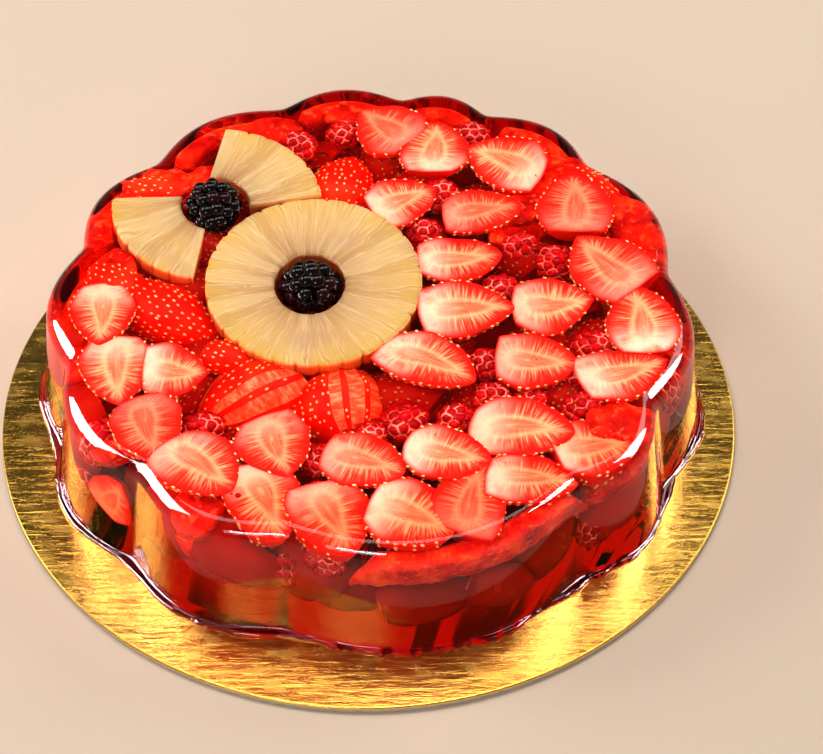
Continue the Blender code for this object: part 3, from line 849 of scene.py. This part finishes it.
def make_red_berries():
    """The red berries near the top, and some behind the wall."""
    dice = random.Random(23)
    top_ones, deep_ones = Piece(), Piece()
    for x, y, across in RED_BERRIES:
        radius = 0.5 * across * MM
        axis = (dice.uniform(-0.8, 0.8), dice.uniform(-0.8, 0.8), 1.0)
        place = np.array([x * MM, y * MM, JELLY_TOP - COVER - 0.6 * MM - radius])
        add_berry(top_ones, dice, place, radius, 1.05,
                  0.2 * radius + 0.4 * MM, axis, 0.1, 6, 12, lowest=-0.3)
    for azimuth, inset, height in WALL_BERRIES:
        radius = dice.uniform(7.5, 9.5) * MM
        axis = (dice.uniform(-1, 1), dice.uniform(-1, 1), dice.uniform(-1, 1))
        add_berry(deep_ones, dice, np.array(wall_place(azimuth, inset, height)), radius, 1.05,
                  0.2 * radius + 0.4 * MM, axis, 0.1, 5, 9)
    material = red_berry_material()
    top_ones.finish("red_berries_top", [material], slot="red_berry_skin")
    deep_ones.finish("red_berries_deep", [material], slot="red_berry_skin")


def make_dark_berries():
    """The two dark berries, each in the place of its solid."""
    dice = random.Random(5)
    material = dark_berry_material()
    for node, axis, taper in (("dark_berry_centre", (0.1, -0.25, 1.0), 0.05),
                              ("dark_berry_side", (0.13, -1.0, 0.12), 0.2)):
        low, high = (np.array(corner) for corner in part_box(node))
        middle, size = (low + high) / 2, high - low
        radius = min(size) / 2
        berry = Piece()
        add_berry(berry, dice, middle, radius, max(size) / min(size), 0.27 * radius, axis, taper, 8, 16)
        berry.finish(node + "_fruit", [material], replaces=[node], slot="dark_berry_skin")


# ---- pineapple ----

def pineapple_material(bundles):
    """Pale yellow flesh in bundles of fibres that run outwards, browner and greyer at the core. Greyer pink
    patches over it are painted reflection; the slits and the sides below the top carry painted shade.
    """
    shader = Shader("pineapple_flesh_%d" % bundles)
    around, out, seed = shader.split(shader.attribute("local"))
    wide = shader.math("MULTIPLY", around, float(bundles))
    fibre = shader.join(shader.math("MULTIPLY", wide, 5.5), shader.math("MULTIPLY", out, 2.4), seed)
    fine = shader.noise(fibre, 1.0, 3.0, 0.6)
    wobble = shader.noise(shader.join(wide, shader.math("MULTIPLY", out, 1.5), seed), 0.9, 2.0)
    cell = shader.math("ADD", wide, shader.math("MULTIPLY", wobble, 1.3))
    tone = shader.node("ShaderNodeTexWhiteNoise", {"W": shader.math("FLOOR", cell)},
                       noise_dimensions="1D").outputs["Value"]
    place_in = shader.math("FRACT", cell)
    edge = shader.math("ABSOLUTE", shader.math("SUBTRACT", place_in, 0.5))
    cloud = shader.noise(shader.place(), 32.0, 2.0)
    base = shader.ramp(out, [(0.0, linear(176, 120, 70)), (0.10, linear(208, 154, 100)),
                             (0.35, linear(232, 178, 116)), (0.72, linear(244, 192, 114)),
                             (0.93, linear(246, 192, 98)), (1.0, linear(240, 176, 66))])
    toned = shader.mix(shader.math("MULTIPLY", shader.band(tone, 0.35, 1.0), 0.5), base, linear(250, 212, 150))
    toned = shader.mix(shader.math("MULTIPLY", shader.band(tone, 0.4, 0.0), 0.35), toned, linear(206, 148, 84))
    # greyer pink patches scattered at random: painted reflection
    greyer_reflection = shader.mix(shader.math("MULTIPLY", shader.band(cloud, 0.5, 0.68), 0.6), toned,
                        linear(214, 158, 124))
    light = shader.mix(shader.math("MULTIPLY", shader.band(fine, 0.52, 0.74), 0.6), greyer_reflection,
                       linear(255, 230, 178))
    dark = shader.mix(shader.math("MULTIPLY", shader.band(fine, 0.45, 0.25), 0.32), light, linear(190, 130, 62))
    # dark lines in the slits between fibre bundles near the rim: painted shade
    slit_shade = shader.math("MULTIPLY", shader.band(edge, 0.455, 0.495), shader.band(out, 0.55, 0.95))
    slit_shaded = shader.mix(shader.math("MULTIPLY", slit_shade, 0.35), dark, linear(166, 104, 40))
    rib = shader.math("MULTIPLY", shader.band(edge, 0.44, 0.40), shader.band(edge, 0.34, 0.40))
    ribbed = shader.mix(shader.math("MULTIPLY", rib, 0.35), slit_shaded, linear(255, 232, 184))
    # the sides below the top are painted darker and redder: painted shade
    level = shader.split(shader.place())[2]
    side = shader.band(level, SLICE_TOP - 1.2 * MM, SLICE_TOP - 3.5 * MM)
    side_shaded = shader.mix(shader.math("MULTIPLY", side, 0.75), ribbed, linear(196, 92, 34))
    shader.surface(Base_Color=side_shaded, Roughness=0.36, IOR=1.38)
    shader.bump(fine, 0.5 * MM, 0.4)
    return shader.material


def add_slice(piece, inner, outer, columns, top, bottom, wrap, seed):
    """A slice between two lines in plan; its stored place is round, outwards and a seed."""
    rows_top = 36
    lines, stored = [], []
    for i in range(columns):
        share = i / columns if wrap else i / (columns - 1)
        near, far = np.array(inner(share)), np.array(outer(share))
        reach = np.linalg.norm(far - near)
        line, keep = [], []
        for k in range(rows_top + 1):
            d = k / rows_top
            ease = min(1.0, d * reach / (0.9 * MM), (1 - d) * reach / (0.9 * MM))
            z = top - 0.9 * MM * (1 - math.sqrt(max(0.0, 1 - (1 - ease) ** 2)))
            groove = noise.noise(Vector((share * (190 if wrap else 55), d * 2.5, seed)))
            z -= 0.22 * MM * max(0.0, groove) * min(1.0, 3 * (1 - abs(2 * d - 1)) + 0.3)
            line.append((*(near + (far - near) * d), z))
            keep.append((share, d, seed))
        for k in range(1, 6):
            line.append((*far, top - 0.9 * MM - (top - 0.9 * MM - bottom) * k / 5))
            keep.append((share, 1.0, seed))
        for k in range(1, 6):
            line.append((*near, bottom + (top - 0.9 * MM - bottom) * (k - 1) / 5))
            keep.append((share, 0.0, seed))
        lines.append(line)
        stored.append(keep)
    count = len(lines[0])
    faces = []
    for i in range(columns if wrap else columns - 1):
        j = (i + 1) % columns
        for k in range(count):
            m = (k + 1) % count
            faces.append((i * count + k, i * count + m, j * count + m, j * count + k))
    if not wrap:
        faces.append(tuple(reversed(range(count))))
        faces.append(tuple((columns - 1) * count + k for k in range(count)))
    piece.add(np.array(lines).reshape(-1, 3), faces, 0, np.array(stored).reshape(-1, 3))


RING_CENTRE, RING_AXES = (-20.6 * MM, 25.0 * MM), (41.0 * MM, 44.5 * MM)
HOLE_CENTRE, HOLE_AXES = (-22.0 * MM, 23.0 * MM), (13.3 * MM, 16.0 * MM)
WEDGE_INNER = 15.2 * MM
WEDGES = {
    "pineapple_wedge_left": ((-57.5 * MM, 67.0 * MM), 42.0 * MM, (168.0, 177.0), (249.0, 258.0)),
    "pineapple_wedge_back": ((-61.5 * MM, 66.5 * MM), 43.2 * MM, (-5.0, 6.5), (92.0, 84.0)),
}


def nibbled(share, count, seed):
    """How far the rim is notched between its fibre bundles, in metres."""
    sharp = (1 - abs(math.sin(math.pi * share * count + 0.6 * math.sin(9 * share + seed)))) ** 4
    return 1.5 * MM * sharp * (0.3 + 0.7 * math.sin(31 * share + seed) ** 2)


def make_pineapple():
    """The ring and the two quarters, in the places of their solids."""

    def oval(centre, axes, share, less=0.0):
        turn = math.tau * share
        return centre[0] + (axes[0] - less) * math.cos(turn), centre[1] + (axes[1] - less) * math.sin(turn)

    ring = Piece()
    add_slice(ring, lambda share: oval(HOLE_CENTRE, HOLE_AXES, share),
              lambda share: oval(RING_CENTRE, RING_AXES, share, nibbled(share, 30, 1.0)),
              720, SLICE_TOP, SLICE_BOTTOM, True, 3.0)
    ring.finish("pineapple_ring_fruit", [pineapple_material(34)], replaces=["pineapple_ring"],
                slot="pineapple_flesh")
    material = pineapple_material(6)
    for seed, (node, (centre, outer, start, end)) in enumerate(WEDGES.items()):
        def on_arc(share, side, radius):
            turn = math.radians(start[side] + (end[side] - start[side]) * share)
            return centre[0] + radius * math.cos(turn), centre[1] + radius * math.sin(turn)

        wedge = Piece()
        add_slice(wedge, lambda share: on_arc(share, 0, WEDGE_INNER),
                  lambda share: on_arc(share, 1, outer - nibbled(share, 7, seed)),
                  200, SLICE_TOP, SLICE_BOTTOM, False, 11.0 + seed)
        wedge.finish(node + "_fruit", [material], smooth_angle=60, replaces=[node], slot="pineapple_flesh")


# ---- board ----

def foil_material(name, metallic, rough):
    """Gold foil over card, finely creased from side to side."""
    shader = Shader(name)
    place = shader.place()
    fine = shader.noise(shader.stretch(place, (1.0, 1.6, 1.0)), 1300.0, 2.0, 0.6)
    wrinkle = shader.noise(shader.stretch(place, (0.22, 1.5, 1.0)), 330.0, 4.0, 0.62, 1.0)
    dent = shader.noise(shader.stretch(place, (0.5, 1.0, 1.0)), 120.0, 2.0)
    height = shader.math("ADD", shader.math("MULTIPLY", wrinkle, 0.45), shader.math("MULTIPLY", fine, 0.12))
    height = shader.math("ADD", height, shader.math("MULTIPLY", dent, 0.35))
    cloud = shader.noise(place, 14.0, 2.0)
    patch = shader.noise(shader.stretch(place, (1.0, 2.0, 1.0)), 90.0, 3.0)
    gold = shader.mix(cloud, linear(240, 182, 72), linear(255, 208, 104))
    uneven = shader.math("MULTIPLY", shader.band(patch, 0.4, 0.7), 0.10)
    shader.surface(Base_Color=gold, Metallic=metallic, Roughness=shader.math("ADD", rough, uneven))
    shader.bump(height, 0.7 * MM, 0.52)
    return shader.material


def card_material():
    """Pale grey card at the board's cut edge and underside."""
    shader = Shader("card_edge")
    fibre = shader.noise(shader.place(), 500.0, 2.0)
    shader.surface(Base_Color=shader.mix(fibre, linear(178, 170, 158), linear(216, 208, 196)), Roughness=0.8)
    return shader.material


def crinkle(x, y):
    """Height of the foil's larger creases, in metres."""
    ridge = noise.ridged_multi_fractal(Vector((x * 35, y * 150, 2.0)), 0.9, 2.1, 3, 0.9, 2.0)
    dents = noise.noise(Vector((x * 160, y * 240, 5.0)))
    return (0.028 * (ridge - 1.0) + 0.030 * dents) * MM


def make_board():
    """A card disc with crinkled foil over its top and wrapped just round its edge."""
    sides = 900
    card, foil = Piece(), Piece()
    edge = 0.5 * MM
    inner = [0.02, 0.2, 0.4, 0.55, 0.65] + [0.7 + 0.01 * k for k in range(9)]
    outer = [0.79 + (0.993 - 0.79) * k / 42 for k in range(43)]
    foil_profile = [(share * BOARD_RADIUS, BOARD_TOP - 0.15 * MM, 1.0) for share in inner + outer]
    foil_profile += [(BOARD_RADIUS - edge * (1 - math.sin(math.radians(a))),
                      BOARD_TOP - 0.15 * MM - edge * (1 - math.cos(math.radians(a))), 0.0)
                     for a in (0, 30, 60, 90)]
    foil_profile.append((BOARD_RADIUS, BOARD_TOP - 1.0 * MM, 0.0))
    foil_profile.append((BOARD_RADIUS - 0.12 * MM, BOARD_TOP - 1.05 * MM, 0.0))
    foil_profile.append((BOARD_RADIUS - 0.12 * MM, BOARD_TOP - 0.8 * MM, 0.0))
    foil_profile.append((0.02 * BOARD_RADIUS, BOARD_TOP - 0.8 * MM, 0.0))
    card_profile = [(0.02 * BOARD_RADIUS, BOARD_TOP - 0.85 * MM, 0.0),
                    (BOARD_RADIUS - 0.2 * MM, BOARD_TOP - 0.85 * MM, 0.0),
                    (BOARD_RADIUS - 0.2 * MM, 0.3 * MM, 0.0), (BOARD_RADIUS - 0.5 * MM, 0.0, 0.0),
                    (0.02 * BOARD_RADIUS, 0.0, 0.0)]
    for piece, profile in ((foil, foil_profile), (card, card_profile)):
        points = []
        for r, z, creased in profile:
            for j in range(sides):
                x, y = r * math.cos(math.tau * j / sides), r * math.sin(math.tau * j / sides)
                rise = creased * crinkle(x, y) if creased and r > 0.6 * BOARD_RADIUS else 0.0
                points.append((x, y, z + min(rise, 0.15 * MM)))
        faces = grid_faces(len(profile), sides, wrap=True, flip=True)
        last = (len(profile) - 1) * sides
        faces += [tuple(range(sides)), tuple(reversed(range(last, last + sides)))]
        piece.add(points, faces)
    covered = [1 if r < 0.8 * BOARD_RADIUS else 0
               for r, z, creased in foil_profile[:-1] for j in range(sides)]
    foil.slots[:len(covered)] = covered
    materials = [foil_material("gold_foil", 1.0, 0.19), foil_material("gold_foil_wet", 0.50, 0.28)]
    foil.finish("board_foil", materials, smooth_angle=50, replaces=["cake_board"],
                slot="gold_foil_board")
    card.finish("board_card", [card_material()], smooth_angle=50, slot="card_edge")


# ---- stage ----

DARK_SKY = (0.0, 0.684, 0.73)       # where the sky is dark: the way the jelly's top mirrors from


def make_stage(jelly):
    """A pale floor that runs up to the horizon, soft lights and a soft sky."""
    shader = Shader("floor_paper")
    shader.surface(Base_Color=linear(229, 208, 187), Roughness=0.9)
    floor = bpy.data.meshes.new("floor")
    reach = 6.0
    floor.from_pydata([(-reach, -reach, 0), (reach, -reach, 0), (reach, reach, 0), (-reach, reach, 0)], [],
                      [(0, 1, 2, 3)])
    floor.materials.append(shader.material)
    made = bpy.data.objects.new("floor", floor)
    bpy.context.scene.collection.objects.link(made)

    world = bpy.data.worlds.new("studio")
    bpy.context.scene.world = world
    world.use_nodes = True
    tree = world.node_tree
    background = tree.nodes["Background"]
    # the sky is dark behind the jelly, where its level top mirrors it, and bright elsewhere
    direction = tree.nodes.new("ShaderNodeTexCoord").outputs["Generated"]
    facing = tree.nodes.new("ShaderNodeVectorMath")
    facing.operation = "DOT_PRODUCT"
    facing.inputs[1].default_value = DARK_SKY
    tree.links.new(direction, facing.inputs[0])
    fade = tree.nodes.new("ShaderNodeValToRGB")
    fade.color_ramp.elements[0].position = 0.88
    fade.color_ramp.elements[0].color = (0.165, 0.153, 0.142, 1.0)
    fade.color_ramp.elements[1].position = 0.975
    fade.color_ramp.elements[1].color = (0.03, 0.027, 0.025, 1.0)
    tree.links.new(facing.outputs["Value"], fade.inputs["Fac"])
    tree.links.new(fade.outputs["Color"], background.inputs["Color"])
    background.inputs["Strength"].default_value = 1.0

    # the windows show only in the jelly's own surface
    mirrors = bpy.data.collections.new("mirrors")
    mirrors.objects.link(jelly)
    lamps = (
        ("softbox_above", (-0.05, 0.30, 1.30), 1.10, 0.46, 8.6, (1.0, 0.96, 0.92), False),
        ("softbox_left", (-1.0, 0.32, 0.80), 0.60, 0.50, 6.5, (1.0, 0.97, 0.94), False),
        ("softbox_right", (0.66, 0.55, 0.75), 0.40, 0.34, 2.8, (1.0, 0.97, 0.94), False),
        ("softbox_front", (-0.35, -1.1, 0.75), 0.50, 0.40, 4.2, (1.0, 0.97, 0.93), False),
        ("window_left", (-0.98, 0.12, 0.56), 0.95, 0.80, 125.0, (1.0, 0.94, 1.0), True),
        ("window_front", (-0.28, -1.0, 0.80), 0.40, 0.22, 9.0, (1.0, 0.93, 1.0), True),
        ("window_right", (0.82, 0.14, 0.66), 0.55, 0.60, 48.0, (1.0, 0.92, 0.98), True))
    for name, place, width, height, power, colour, only_mirrored in lamps:
        light = bpy.data.lights.new(name, "AREA")
        light.shape = "RECTANGLE"
        light.size = width
        light.size_y = height
        light.energy = power
        light.color = colour
        lamp = bpy.data.objects.new(name, light)
        lamp.location = place
        lamp.rotation_euler = (Vector((0, 0, 0.03)) - Vector(place)).to_track_quat("-Z", "Y").to_euler()
        lamp.visible_diffuse = not only_mirrored
        lamp.visible_transmission = not only_mirrored
        if only_mirrored:
            lamp.light_linking.receiver_collection = mirrors
        bpy.context.scene.collection.objects.link(lamp)


def make_camera():
    """The view from the front, looking down at 47 degrees."""
    elevation = math.radians(46.86)
    target = Vector((0.117, 0.1423, 0.0)) * BOARD_RADIUS + Vector((0, 0, BOARD_TOP))
    distance = 8.552 * BOARD_RADIUS
    camera = bpy.data.cameras.new("camera")
    camera.lens = 135.08
    camera.sensor_width = 36.0
    made = bpy.data.objects.new("camera", camera)
    made.location = target + Vector((0, -math.cos(elevation), math.sin(elevation))) * distance
    made.rotation_euler = (math.pi / 2 - elevation, 0, 0)
    bpy.context.scene.collection.objects.link(made)
    bpy.context.scene.camera = made


def set_light_paths():
    """Let light through the clear jelly, and keep the colours as they are."""
    scene = bpy.context.scene
    scene.view_settings.view_transform = "Standard"
    cycles = scene.cycles
    cycles.max_bounces = 16
    cycles.transmission_bounces = 14
    cycles.glossy_bounces = 6
    cycles.diffuse_bounces = 4
    cycles.caustics_refractive = True
    cycles.caustics_reflective = True
    cycles.blur_glossy = 0.6
    cycles.sample_clamp_indirect = 60.0
    cycles.use_denoising = True


make_camera()
make_stage(make_jelly())
set_light_paths()
make_board()
make_strawberries()
make_slices()
make_red_berries()
make_dark_berries()
make_pineapple()
